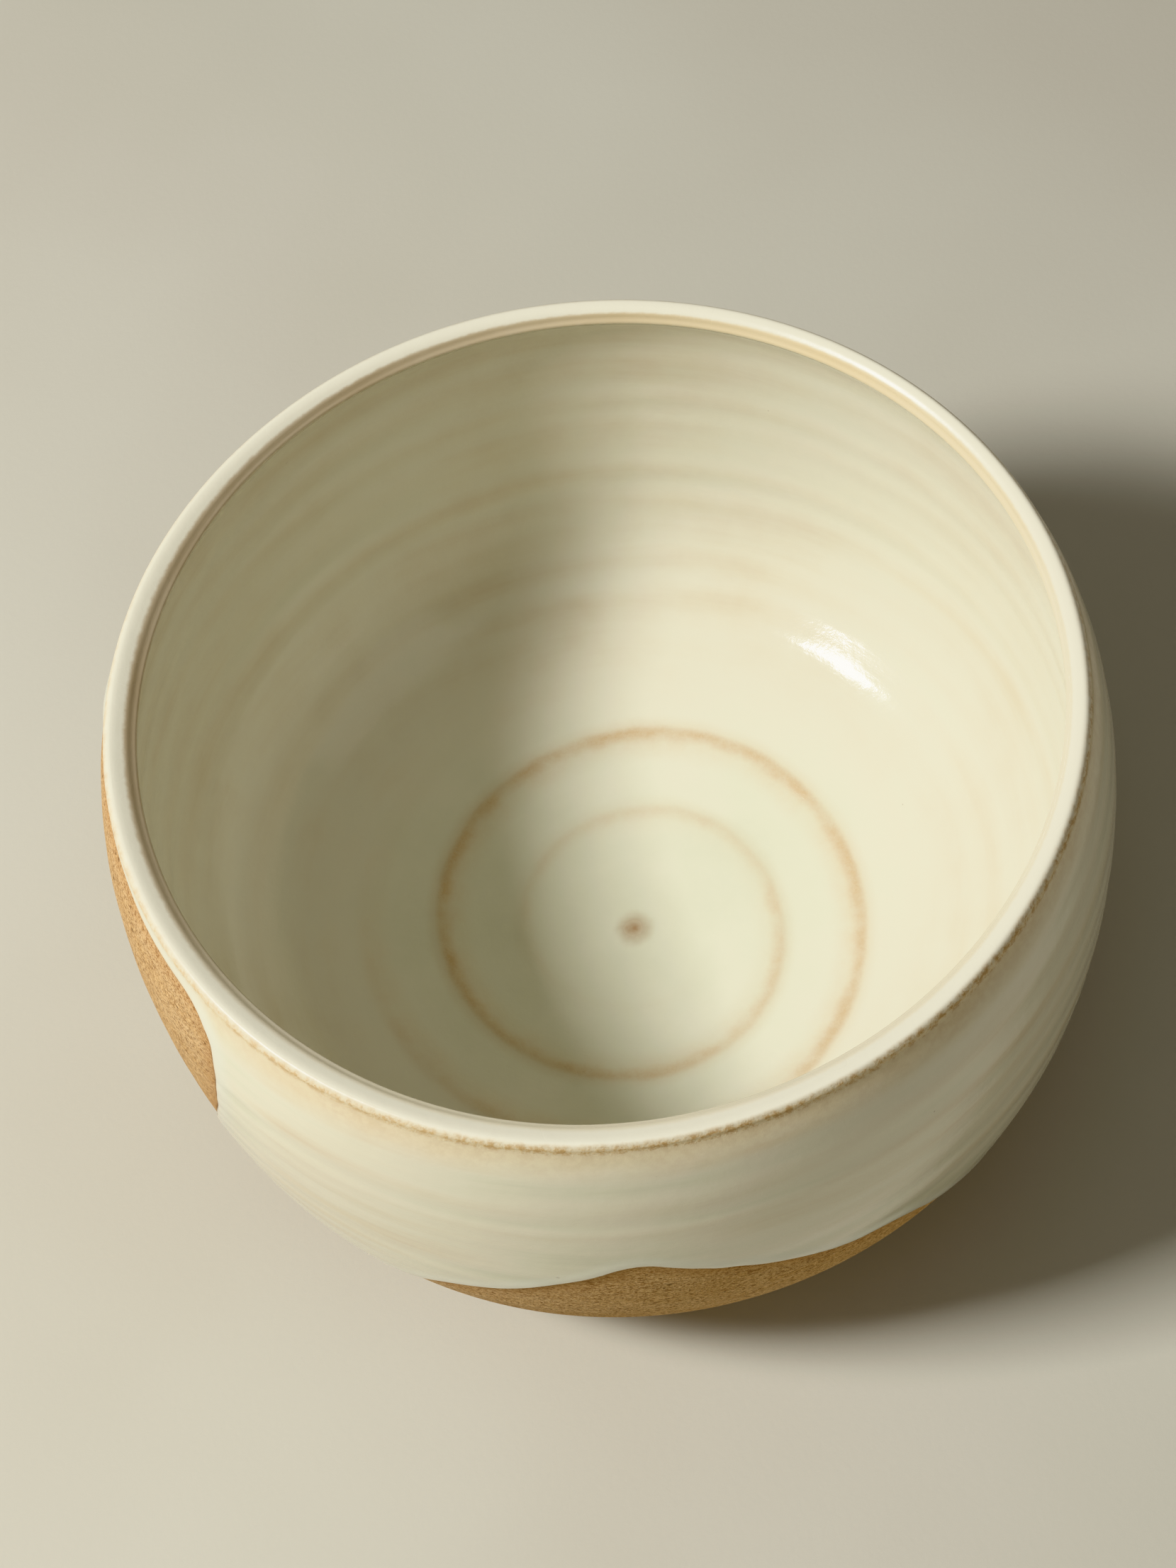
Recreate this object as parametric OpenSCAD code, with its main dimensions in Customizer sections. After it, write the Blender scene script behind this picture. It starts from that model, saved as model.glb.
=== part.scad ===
// Shaving bowl: a thrown and turned stoneware bowl with a full belly, a turned
// foot ring, a liner glaze that rolls over the lip and an outer glaze that stops
// short of the foot in a wavy edge.
//
// Frame: millimetres, +Z up, origin on the standing plane at the centre of the
// foot ring. The side with the high arch of bare clay is -Y, the side where the
// bare clay reaches up to the lip is -X.

/* [Bowl] */
// Diameter over the outer edge of the lip
rim_d = 120; // [100:1:126]
// Height from the standing plane to the top of the lip
bowl_h = 76; // [70:1:90]
// Widest diameter, round the belly
belly_d = 127.8; // [127:0.2:140]
// Height of the widest place, as a share of the bowl's height
belly_level = 0.65; // [0.58:0.01:0.70]

/* [Wall] */
// Width of the lip, from its outer edge to its inner arris
lip_w = 3.8; // [3:0.1:5]
// Wall thickness halfway up, glaze included
wall_t = 4.7; // [4:0.1:6]
// Thickness of the floor at the centre, glaze included
floor_t = 6.9; // [6:0.1:9]

/* [Foot ring] */
// Outside diameter of the foot ring
foot_d = 68; // [60:1:76]
// Width of the surface that the bowl stands on
foot_w = 4.5; // [3:0.5:7]
// Height of the foot ring
foot_h = 5.2; // [4:0.1:6.5]
// Depth of the hollow inside the foot ring
hollow_h = 3.8; // [2:0.1:3.9]

/* [Floor] */
// Diameter of the small button that the throwing spiral ends in
nub_d = 5; // [3:0.5:8]
// Height of the button
nub_h = 1.0; // [0.4:0.1:1.6]

/* [Glaze] */
// Thickness of both glaze coats
glaze_t = 0.6; // [0.4:0.05:0.9]
// How far the liner glaze rolls down the outside of the lip
lip_roll = 2.2; // [1.6:0.1:3]

/* [Glaze edge] */
// Depth of the glaze edge below the top of the lip, at the back
edge_back = 60; // [50:1:62]
// Depth of the glaze edge on the right
edge_right = 62; // [55:1:63]
// Depth of the glaze edge at the top of the front arch
edge_arch = 26; // [20:1:40]
// Depth of the glaze edge where it meets the arch on the left
edge_tongue = 47; // [42:1:52]

/* [Hidden] */

// Steps between two hand-set points of the section
steps = 3;
// Facets of the tool that cuts the wavy edge
edge_n = 90;
$fn = 120;

rr = rim_d / 2;
br = belly_d / 2;
bz = bowl_h * belly_level;
fr = foot_d / 2;
// Level of the glazed floor beside the button
fz = hollow_h + floor_t;
// Radius of the glazed inside wall at the belly
ir = br - wall_t;
// Share of the height between the floor and the lip
function up(t) = fz + (bowl_h - fz) * t;
// Share of the height between the foot and the belly
function hip(t) = foot_h + (bz - foot_h) * t;
// Share of the height between the belly and the lip
function neck(t) = bz + (bowl_h - bz) * t;

// The finished inside, from the centre of the floor to the arris of the lip
inside_pts = [
    [0, fz + nub_h], [nub_d * 0.28, fz + nub_h * 0.84], [nub_d * 0.5, fz + nub_h * 0.2],
    [nub_d * 0.8, fz + 0.05], [ir * 0.16, fz + 0.35], [ir * 0.34, fz + 1.8],
    [ir * 0.52, fz + 4.2], [ir * 0.67, fz + 7.0], [ir * 0.79, up(0.155)], [ir * 0.89, up(0.235)],
    [ir * 0.958, up(0.35)], [ir * 0.99, up(0.50)], [ir * 1.001, up(0.65)],
    [ir * 0.998, up(0.78)], [ir * 0.5 + (rr - lip_w) * 0.5 + 0.7, up(0.88)],
    [rr - lip_w + 0.9, up(0.94)], [rr - lip_w, bowl_h - 2.4]
];

// The lip, from its inner arris over the top to its outer edge
lip_pts = [
    [rr - lip_w, bowl_h - 2.4], [rr - lip_w * 0.88, bowl_h - 1.5], [rr - lip_w * 0.72, bowl_h - 0.6],
    [rr - lip_w * 0.5, bowl_h - 0.08], [rr - lip_w * 0.28, bowl_h - 0.1],
    [rr - lip_w * 0.09, bowl_h - 0.55], [rr, bowl_h - 1.3], [rr + 0.1, bowl_h - lip_roll]
];

// The finished outside, from the lip down to the foot ring
outside_pts = [
    [rr + 0.1, bowl_h - lip_roll], [rr * 0.62 + br * 0.38, neck(0.80)], [rr * 0.30 + br * 0.70, neck(0.58)],
    [rr * 0.09 + br * 0.91, neck(0.32)], [br, bz], [br * 0.995, hip(0.76)],
    [br * 0.974, hip(0.52)], [br * 0.934, hip(0.32)], [br * 0.875, hip(0.175)],
    [br * 0.78, hip(0.082)], [br * 0.66, hip(0.035)], [fr + 0.8, foot_h]
];

// A smooth curve through the points: Catmull-Rom pieces
function cr(a, b, c, d, t) = 0.5 * (2 * b + (c - a) * t + (2 * a - 5 * b + 4 * c - d) * t * t
    + (3 * b - a - 3 * c + d) * t * t * t);
function ahead(p, i) = i < 0 ? 2 * p[0] - p[1] : i >= len(p) ? 2 * p[len(p) - 1] - p[len(p) - 2] : p[i];
function smooth_line(p, n) = [for (i = [0 : len(p) - 2]) for (k = [0 : n - 1])
    cr(ahead(p, i - 1), p[i], p[i + 1], ahead(p, i + 2), k / n), p[len(p) - 1]];

inside = smooth_line(inside_pts, steps);
lip = smooth_line(lip_pts, 2);
outside = smooth_line(outside_pts, steps);

// The same lines moved in by the thickness of the glaze
function tangent(p, i) = let (d = p[min(i + 1, len(p) - 1)] - p[max(i - 1, 0)]) d / norm(d);
function inset(p, t) = [for (i = [0 : len(p) - 1]) let (d = tangent(p, i)) [max(p[i][0] + d[1] * t, 0), p[i][1] - d[0] * t]];

skin = concat(inside, [for (i = [1 : len(lip) - 1]) lip[i]], [for (i = [1 : len(outside) - 1]) outside[i]]);
n_liner = len(inside) + len(lip) - 1;
clay_raw = inset(skin, glaze_t);
clay = [for (i = [0 : len(clay_raw) - 1]) i == 0 ? [0, clay_raw[0][1]] : clay_raw[i]];

liner_face = [for (i = [0 : n_liner - 1]) skin[i]];
liner_back = [for (i = [0 : n_liner - 1]) clay[n_liner - 1 - i]];
outer_face = [for (i = [n_liner - 1 : len(skin) - 1]) skin[i]];
outer_back = [for (i = [n_liner - 1 : len(skin) - 1]) clay[len(skin) - 1 - i + n_liner - 1]];

// Foot ring and the hollow inside it, from the turned wall to the centre
foot_line = [
    [fr + 0.25, foot_h - 1.0], [fr - 0.1, 1.2], [fr - 0.35, 0.45], [fr - 1.0, 0],
    [fr - 1.0 - foot_w, 0], [fr - 1.7 - foot_w, 0.5], [fr - 2.1 - foot_w, hollow_h - 1.3],
    [fr - 3.2 - foot_w, hollow_h - 0.25], [fr - 5 - foot_w, hollow_h], [0, hollow_h]
];

// Where the glaze stops: compass angle at the lip and depth below the top of the lip.
// The edge leans: deep points lie round to the left by edge_lean degrees for each millimetre.
edge_lean = 0.6;
edge_pts = [
    [-180, 0], [-150, 0], [-146, 4], [-142, 9], [-138, 14], [-133.5, 25], [-131, 37], [-125, 47],
    [-112, 54], [-102, 52], [-97, edge_tongue], [-92.5, edge_arch * 0.3 + edge_tongue * 0.7],
    [-88, edge_arch * 0.62 + edge_tongue * 0.38], [-85, edge_arch * 0.8 + edge_tongue * 0.2],
    [-82, edge_arch + 1], [-80.5, edge_arch], [-77, edge_arch + 1],
    [-71, edge_arch + 4], [-62, edge_arch + 8.5], [-53, edge_arch + 12.5], [-44, edge_arch + 14.5],
    [-36, edge_arch + 17.5], [-24, edge_arch * 0.3 + edge_right * 0.7 + 0.5], [0, edge_right - 4],
    [35, edge_right], [75, edge_right - 3], [120, edge_back], [148, edge_back - 2],
    [158, 50], [164, 28], [168.5, 6], [171, 0], [180, 0]
];
function ease(t) = t * t * (3 - 2 * t);
function edge_depth(a) = let (i = [for (k = [0 : len(edge_pts) - 2]) if (a >= edge_pts[k][0] && a <= edge_pts[k + 1][0]) k][0],
    t = (a - edge_pts[i][0]) / (edge_pts[i + 1][0] - edge_pts[i][0]))
    edge_pts[i][1] * (1 - ease(t)) + edge_pts[i + 1][1] * ease(t);
// One corner of the cutting block, at a compass angle, a radius and a depth
function corner(a, r, d) = let (b = a - edge_lean * d) [r * cos(b), r * sin(b), bowl_h - d];

// A ring-shaped block whose top follows the glaze edge; it is taken away from the coat
module bare_clay() {
    inner_r = foot_d / 2 - 8;
    outer_r = br + 14;
    a = [for (i = [0 : edge_n - 1]) -180 + 360 * i / edge_n];
    top = [for (x = a) let (d = edge_depth(x)) d < 0.05 ? -1 : d];
    low = bowl_h + 1;
    pts = concat(
        [for (i = [0 : edge_n - 1]) corner(a[i], inner_r, low)],
        [for (i = [0 : edge_n - 1]) corner(a[i], outer_r, low)],
        [for (i = [0 : edge_n - 1]) corner(a[i], outer_r, top[i])],
        [for (i = [0 : edge_n - 1]) corner(a[i], inner_r, top[i])]);
    faces = [for (r = [0 : 3]) for (i = [0 : edge_n - 1]) let (j = (i + 1) % edge_n, s = ((r + 1) % 4) * edge_n, q = r * edge_n)
        each [[q + i, s + j, q + j], [q + i, s + i, s + j]]];
    polyhedron(points = pts, faces = faces, convexity = 8);
}

// The thrown body: wall, floor, button and turned foot ring in one piece of clay
module clay_body() {
    color([0.78, 0.62, 0.43])
    rotate_extrude() polygon(concat(clay, foot_line));
}

// Glossy coat over the inside and the lip
module liner_glaze() {
    color([0.93, 0.92, 0.85])
    rotate_extrude() polygon(concat(liner_face, liner_back));
}

// Glossy coat over the outside, down to the wavy edge
module outer_glaze() {
    color([0.91, 0.89, 0.80])
    difference() {
        rotate_extrude() polygon(concat(outer_face, outer_back));
        bare_clay();
    }
}

clay_body();
liner_glaze();
outer_glaze();
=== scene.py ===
import math

import bpy
import numpy as np
from mathutils import Matrix, Vector


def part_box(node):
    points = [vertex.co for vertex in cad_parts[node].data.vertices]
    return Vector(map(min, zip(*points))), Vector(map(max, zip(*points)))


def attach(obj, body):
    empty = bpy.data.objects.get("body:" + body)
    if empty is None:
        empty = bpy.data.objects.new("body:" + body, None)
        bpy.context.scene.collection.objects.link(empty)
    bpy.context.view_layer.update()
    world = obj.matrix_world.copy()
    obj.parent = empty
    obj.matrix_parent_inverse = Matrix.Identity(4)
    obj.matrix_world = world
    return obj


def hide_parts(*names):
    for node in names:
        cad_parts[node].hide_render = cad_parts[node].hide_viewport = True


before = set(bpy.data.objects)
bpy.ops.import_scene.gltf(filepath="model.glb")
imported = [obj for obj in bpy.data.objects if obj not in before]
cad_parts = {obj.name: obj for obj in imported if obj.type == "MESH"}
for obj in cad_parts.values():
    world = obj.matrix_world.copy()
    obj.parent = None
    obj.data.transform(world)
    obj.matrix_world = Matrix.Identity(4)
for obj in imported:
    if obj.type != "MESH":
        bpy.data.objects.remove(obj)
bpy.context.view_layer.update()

# ---------------------------------------------------------------------------
# The section of the bowl, in millimetres. It repeats the CAD's points
# and reads the sizes from the imported nodes.
# ---------------------------------------------------------------------------
lo_l, hi_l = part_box("liner_glaze")
lo_c, hi_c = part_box("clay_body")
H = hi_l[2] * 1000.0 + 0.03             # top of the lip
RR = 60.0                               # outer edge of the lip
BR = max(hi_c[0], hi_c[1]) * 1000.0 + 0.6  # belly, over the CAD's coat
LIP_W, WALL, FLOOR_T = 3.8, 4.7, 6.9
FOOT_R, FOOT_W, FOOT_H, HOLLOW = 34.0, 4.5, 5.2, 3.8
NUB_D, NUB_H = 5.6, 0.42
GLAZE = 0.34                            # the coat as it looks; the CAD's is 0.6
BZ = 0.65 * H
FZ = HOLLOW + FLOOR_T
IR = BR - WALL


def up(t):
    return FZ + (H - FZ) * t


def hip(t):
    return FOOT_H + (BZ - FOOT_H) * t


def neck(t):
    return BZ + (H - BZ) * t


inside_pts = [
    (0.0, FZ + NUB_H * 0.75), (NUB_D * 0.28, FZ + NUB_H * 0.6), (NUB_D * 0.5, FZ + NUB_H * 0.18),
    (NUB_D * 0.8, FZ + 0.05), (IR * 0.16, FZ + 0.35), (IR * 0.34, FZ + 1.8),
    (IR * 0.52, FZ + 4.2), (IR * 0.67, FZ + 7.0), (IR * 0.79, up(0.155)), (IR * 0.89, up(0.235)),
    (IR * 0.958, up(0.35)), (IR * 0.99, up(0.50)), (IR * 1.001, up(0.65)),
    (IR * 0.998, up(0.78)), (IR * 0.5 + (RR - LIP_W) * 0.5 + 0.7, up(0.88)),
    (RR - LIP_W + 0.9, up(0.94)),
]
lip_pts = [
    (RR - LIP_W, H - 2.25), (RR - LIP_W + 0.28, H - 1.58), (RR - LIP_W + 0.85, H - 0.98),
    (RR - LIP_W + 1.70, H - 0.52), (RR - LIP_W + 2.55, H - 0.18),
    (RR - LIP_W + 3.22, H - 0.15), (RR - 0.06, H - 0.80), (RR + 0.12, H - 1.75),
]
outside_pts = [
    (RR * 0.62 + BR * 0.38, neck(0.80)), (RR * 0.30 + BR * 0.70, neck(0.58)),
    (RR * 0.09 + BR * 0.91, neck(0.32)), (BR, BZ), (BR * 0.995, hip(0.76)),
    (BR * 0.974, hip(0.52)), (BR * 0.934, hip(0.32)), (BR * 0.875, hip(0.175)),
    (BR * 0.78, hip(0.082)), (BR * 0.66, hip(0.035)),
]
foot_pts = [
    (FOOT_R + 2.2, FOOT_H - 0.25), (FOOT_R + 0.7, FOOT_H - 0.75), (FOOT_R + 0.2, FOOT_H - 1.9),
    (FOOT_R - 0.1, 1.6), (FOOT_R - 0.3, 0.75), (FOOT_R - 0.75, 0.2), (FOOT_R - 1.4, 0.0),
    (FOOT_R - 0.6 - FOOT_W, 0.0), (FOOT_R - 1.3 - FOOT_W, 0.2), (FOOT_R - 1.75 - FOOT_W, 0.8),
    (FOOT_R - 2.2 - FOOT_W, HOLLOW - 1.4), (FOOT_R - 3.0 - FOOT_W, HOLLOW - 0.45),
    (FOOT_R - 4.6 - FOOT_W, HOLLOW - 0.05), (FOOT_R * 0.5, HOLLOW), (6.0, HOLLOW - 0.1), (0.0, HOLLOW - 0.3),
]


def catmull(P, n):
    P = np.asarray(P, float)
    Q = np.vstack([2 * P[0] - P[1], P, 2 * P[-1] - P[-2]])
    out = []
    t = (np.arange(n) / n)[:, None]
    for i in range(len(P) - 1):
        a, b, c, d = Q[i], Q[i + 1], Q[i + 2], Q[i + 3]
        out.append(0.5 * (2 * b + (c - a) * t + (2 * a - 5 * b + 4 * c - d) * t * t + (3 * b - a - 3 * c + d) * t ** 3))
    out.append(P[-1:])
    return np.vstack(out)


ALL = inside_pts + lip_pts + outside_pts + foot_pts
N_SUB = 40
_p = catmull(ALL, N_SUB)
_s = np.r_[0, np.cumsum(np.hypot(*np.diff(_p, axis=0).T))]
S = np.linspace(0, _s[-1], int(_s[-1] / 0.04) + 1)
_r, _z = np.interp(S, _s, _p[:, 0]), np.interp(S, _s, _p[:, 1])


def soft(v, mm):
    n = max(1, int(mm / 0.04))
    k = np.hanning(2 * n + 3)[1:-1]
    k /= k.sum()
    w = np.r_[2 * v[0] - v[n:0:-1], v, 2 * v[-1] - v[-2:-n - 2:-1]]
    return np.convolve(w, k, "same")[n:-n]


_r, _z = soft(_r, 0.28), soft(_z, 0.28)
_r[0] = 0.0
_z = np.clip(_z, 0.0, H - 0.07)
_tr, _tz = np.gradient(_r, S), np.gradient(_z, S)
_l = np.hypot(_tr, _tz)
_tr, _tz = _tr / _l, _tz / _l


def at_ctrl(i):
    return float(_s[i * N_SUB])


i0, i1 = len(inside_pts), len(inside_pts) + len(lip_pts)
S_ARRIS = at_ctrl(i0)
S_CREST = at_ctrl(i0 + 3)
S_CORNER = at_ctrl(i0 + 6)
S_SEAM = S_CORNER + 0.15
S_FOOT = at_ctrl(i1 + len(outside_pts) - 1)
S_END = float(S[-1])


def base(s):
    """Radius, height and outward normal of the finished skin."""
    r, z = np.interp(s, S, _r), np.interp(s, S, _z)
    tr, tz = np.interp(s, S, _tr), np.interp(s, S, _tz)
    l = np.hypot(tr, tz)
    return r, z, -tz / l, tr / l


_out = (S > S_CORNER) & (S < S_FOOT)
_dep, _sd = (H - _z)[_out], S[_out]


def s_of_depth(d):
    return np.interp(d, _dep, _sd)


def step(a, b, x):
    t = np.clip((x - a) / (b - a), 0, 1)
    return t * t * (3 - 2 * t)


def waves(s, th, seed, lams, ks, n=1, drift=1.0):
    """A sum of long, nearly level waves: each turns into the next after one round, as throwing marks do."""
    rng = np.random.default_rng(seed)
    out = 0.0
    tot = 0.0
    for lam in lams:
        for k in ks:
            for _ in range(n):
                a = rng.uniform(0.6, 1.0)
                out = out + a * np.sin(2 * np.pi * s / (lam * rng.uniform(0.93, 1.07)) + k * th * drift + rng.uniform(0, 6.283))
                tot += a * a
    return out / math.sqrt(tot)


# ---------------------------------------------------------------------------
# Relief of the thrown clay, in millimetres along the normal
# ---------------------------------------------------------------------------
PITCH = 11.31


def spiral_gap(r, th):
    """Distance in millimetres from the nearest crest of the throwing spiral; outside it is positive."""
    t = (r + 1.8 * (th + 0.9076) - 33.0 + 0.35 * np.sin(th * 2 + 0.6) + 0.25 * np.sin(3 * th + 2.0)) / PITCH
    n = np.round(t)
    return (t - n) * PITCH, -n


def spiral_relief(r, th):
    d, _ = spiral_gap(r, th)
    crest = np.where(d > 0, np.exp(-(d / 1.25) ** 2), np.exp(-(d / 2.6) ** 2))
    fade = step(8, 22, r) * (1 - step(33, 41, r))
    return 0.15 * fade * crest


def in_rings(s, th):
    return waves(s, th, 11, (5.2, 7.4, 10.5), (1, 1, 2), 1)


def out_rings(s, th):
    return 0.75 * waves(s, th, 23, (4.3, 6.1, 8.6), (1, 2), 1) + 0.08 * waves(s, th, 29, (2.6, 3.3), (1, 3), 1) * (0.6 + 0.4 * np.cos(th - np.radians(215)))


def relief(s, th):
    """Height of the hand-made surface over the plain section, in millimetres."""
    r, z, _, _ = base(s)
    inner = s < S_ARRIS
    f = np.zeros(np.broadcast(s, th).shape)
    f = f + np.where(inner, spiral_relief(r, th), 0)
    wall = step(42, 60, s) * (1 - step(S_ARRIS - 9, S_ARRIS - 2.5, s))
    f = f + np.where(inner, wall * (0.075 * in_rings(s, th) - 0.04), 0)
    # a small roll along the inner arris of the lip, with a hollow behind it
    lipw = 1 + 0.25 * np.sin(2 * th + 1.0) + 0.2 * np.sin(5 * th)
    f = f + lipw * (0.07 * np.exp(-((s - S_ARRIS - 0.30) / 0.34) ** 2) - 0.06 * np.exp(-((s - S_ARRIS - 1.15) / 0.42) ** 2))
    low = np.clip(s - S_SEAM, 0, None)
    side = step(2.5, 9, low) * (1 - step(S_FOOT - 16, S_FOOT - 6, s))
    f = f + np.where(~inner, side * (0.046 - 0.016 * step(34, 48, low)) * out_rings(s, th), 0)
    # slow unevenness of a hand-made wall
    slow = waves(s, th, 5, (60, 90), (2, 3), 1)
    f = f + 0.06 * slow * step(8, 30, s) * (1 - step(S_FOOT - 4, S_FOOT + 1, s))
    return f


def turning(s, th, bare):
    """Fine grooves left by the turning tool on the bare lower part and the foot."""
    m = step(S_SEAM + 22, S_SEAM + 34, s) * bare
    flat = 1 - step(S_FOOT + 8.0, S_FOOT + 9.5, s) * (1 - step(S_FOOT + 14.5, S_FOOT + 16.0, s))
    return m * flat * (0.024 * waves(s, th, 77, (1.7, 2.3, 3.4), (0, 1), 1) - 0.03)


# ---------------------------------------------------------------------------
# Where the outer glaze stops: angle and depth below the lip, leaning LEAN
# degrees to the left for each millimetre of depth, as in the CAD
# ---------------------------------------------------------------------------
LEAN = 0.6
edge_pts = [
    (-184.4, 2.1), (-178.9, 2.0), (-172.6, 2.1), (-167, 2.3), (-160, 2.8), (-154, 3.0), (-149.7, 3.3),
    (-146.8, 4.3), (-144.6, 5.8), (-142.3, 7.9), (-140.1, 11.2), (-138.1, 14.4), (-136.4, 18.1), (-134.9, 21.5),
    (-132.9, 26.6), (-131.0, 33.6), (-129.3, 40.3), (-126.0, 47.6), (-120.0, 52.8), (-111, 55.2), (-104, 54.2), (-98.8, 51.0),
    (-95.9, 47.8), (-93.9, 43.7), (-91.4, 40.7), (-88.9, 38.6), (-86.9, 35.7), (-84.8, 33.3),
    (-82.7, 30.4), (-81.5, 28.5), (-80.2, 27.7), (-78.2, 27.8), (-75.9, 28.7), (-73.6, 29.7), (-70.8, 31.0), (-68.1, 32.1),
    (-65.7, 33.1), (-63.2, 34.1), (-60.5, 35.1), (-56.8, 36.6), (-54.2, 37.9), (-51.6, 39.0), (-48.7, 40.0),
    (-45.9, 40.6), (-43.2, 41.3), (-40.2, 42.3), (-36.0, 44.6), (-31.9, 47.0), (-26.1, 50.4), (-21.5, 53.0),
    (-10, 57.2), (6, 59.8), (22, 61.3), (42, 61.6), (60, 60.4), (82, 58.6), (104, 58.3), (128, 57.4),
    (144, 55.0), (153, 49.0), (158.5, 40.0), (162.5, 29.0), (165.5, 17.5), (168.2, 8.5), (171.0, 4.4), (173.2, 2.8),
]
_e = np.array(edge_pts, float)
_loop = np.vstack([_e[-4:] - [360, 0], _e, _e[:4] + [360, 0]])
_loop = catmull(_loop, 24)
_keep = (_loop[:, 0] >= -184.4 - 1e-9) & (_loop[:, 0] <= 175.6)
_loop = _loop[_keep]
_loop = np.vstack([_loop, _loop[0] + [360, 0]])
_ex, _ey = np.radians(_loop[:, 0]) * 61.0, _loop[:, 1]
_el = np.r_[0, np.cumsum(np.hypot(np.diff(_ex), np.diff(_ey)))]
N_COL = 640
_q = np.arange(N_COL) / N_COL * _el[-1]
_rng = np.random.default_rng(3)
EDGE_A = np.radians(np.interp(_q, _el, _loop[:, 0]))
EDGE_D = np.interp(_q, _el, _ey)
_ph = 2 * np.pi * _q / _el[-1]
_wob = sum(_rng.uniform(0.4, 1) * np.sin(k * _ph + _rng.uniform(0, 6.28)) for k in (23, 31, 44, 59, 73, 97)) * 0.045
EDGE_D = EDGE_D + _wob * step(3.5, 8, EDGE_D)


def edge_depth(a):
    """Depth of the glaze edge on the leaning line that starts at angle a."""
    lo = EDGE_A[0]
    b = (a - lo) % (2 * np.pi) + lo
    return np.interp(b, np.r_[EDGE_A, EDGE_A[0] + 2 * np.pi], np.r_[EDGE_D, EDGE_D[0]])


# the edge on the unrolled wall, for distances
_fine = np.linspace(0, _el[-1], 2600, endpoint=False)
_fa = np.radians(np.interp(_fine, _el, _loop[:, 0]))
_fd = edge_depth(_fa)
_fth = _fa - np.radians(LEAN) * _fd
_fs = s_of_depth(_fd)


def edge_distance(s, th):
    """Distance in millimetres to the glaze edge along the wall; positive where there is glaze."""
    s, th = np.broadcast_arrays(s, th)
    shape = s.shape
    s, th = s.ravel(), th.ravel()
    depth = np.interp(s, _sd, _dep)
    inside = depth < edge_depth(th + np.radians(LEAN) * depth)
    out = np.full(len(s), 99.0)
    near = np.where((s > S_SEAM - 4) & (s < S_FOOT + 2))[0]
    for a in range(0, len(near), 4000):
        k = near[a:a + 4000]
        dth = (th[k, None] - _fth[None, :] + np.pi) % (2 * np.pi) - np.pi
        d2 = (dth * 62.0) ** 2 + (s[k, None] - _fs[None, :]) ** 2
        out[k] = np.sqrt(d2.min(1))
    inside = inside | (s < S_SEAM - 1)
    sign = np.where(inside, 1.0, -1.0)
    return (out * sign).reshape(shape)


def coat(d):
    """Thickness of the glaze at a distance d from its edge: a rolled edge, then a slightly thick bead."""
    w = 0.50
    u = np.clip(d / w, 0, 1)
    roll = np.sqrt(np.clip(1 - (1 - u) ** 2, 0, 1))
    return GLAZE * roll * (1 + 0.16 * np.exp(-((d - 1.3) / 1.0) ** 2))


# ---------------------------------------------------------------------------
# Meshes
# ---------------------------------------------------------------------------


def round_table(pts, soften):
    """A smooth closed curve through (degrees, millimetres) pairs, one value for each half degree."""
    a = np.radians([q[0] for q in pts])
    v = np.array([q[1] for q in pts], float)
    g = np.arange(720) / 720 * 2 * np.pi - np.pi
    w = np.interp(g, np.r_[a - 2 * np.pi, a, a + 2 * np.pi], np.r_[v, v, v])
    k = np.hanning(2 * soften + 3)[1:-1]
    k /= k.sum()
    return g, np.convolve(np.r_[w[-soften:], w, w[:soften]], k, "valid")


# the lip is not of one width: its outer edge runs in at the back, its inner edge runs out on the right
LIP_OUT = round_table([(-170, 0.05), (-120, 0.05), (-60, 0.08), (-35, -0.06), (-10, -0.20), (10, -0.32), (30, -0.50),
                       (50, -0.68), (70, -0.90), (85, -0.97), (105, -0.80), (125, -0.58), (140, -0.25), (152, 0.0), (170, 0.08)], 16)
LIP_IN = round_table([(-170, 0.0), (-75, 0.0), (-50, 0.28), (-30, 0.62), (-10, 0.80), (12, 0.64), (32, 0.34), (52, 0.12), (80, 0.0)], 16)


def lip_shift(s, th):
    """Radial shift of the section, in millimetres."""
    o = np.interp(th, LIP_OUT[0], LIP_OUT[1], period=2 * np.pi)
    i = np.interp(th, LIP_IN[0], LIP_IN[1], period=2 * np.pi)
    w_o = step(S_ARRIS + 0.3, S_CREST + 0.7, s) * (1 - step(S_CORNER + 0.6, S_CORNER + 32, s))
    w_i = step(S_ARRIS - 26, S_ARRIS - 2, s) * (1 - step(S_ARRIS + 0.2, S_CREST + 0.6, s))
    return o * w_o + i * w_i



def place(s, th, h):
    """Points at a height h above the finished skin."""
    r, z, nr, nz = base(s)
    f = relief(s, th) + h
    rad = r + nr * f + lip_shift(s, th)
    rad = np.where(r < 1e-9, 0 * rad, rad)
    # the lip and wall are a touch out of round
    rad = rad * (1 - 0.0012 * step(10, 40, s) * (1 - np.cos(2 * th + 0.8)) / 2)
    zz = z + nz * f
    return np.stack([rad * np.cos(th), rad * np.sin(th), zz], -1) * 0.001


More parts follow.
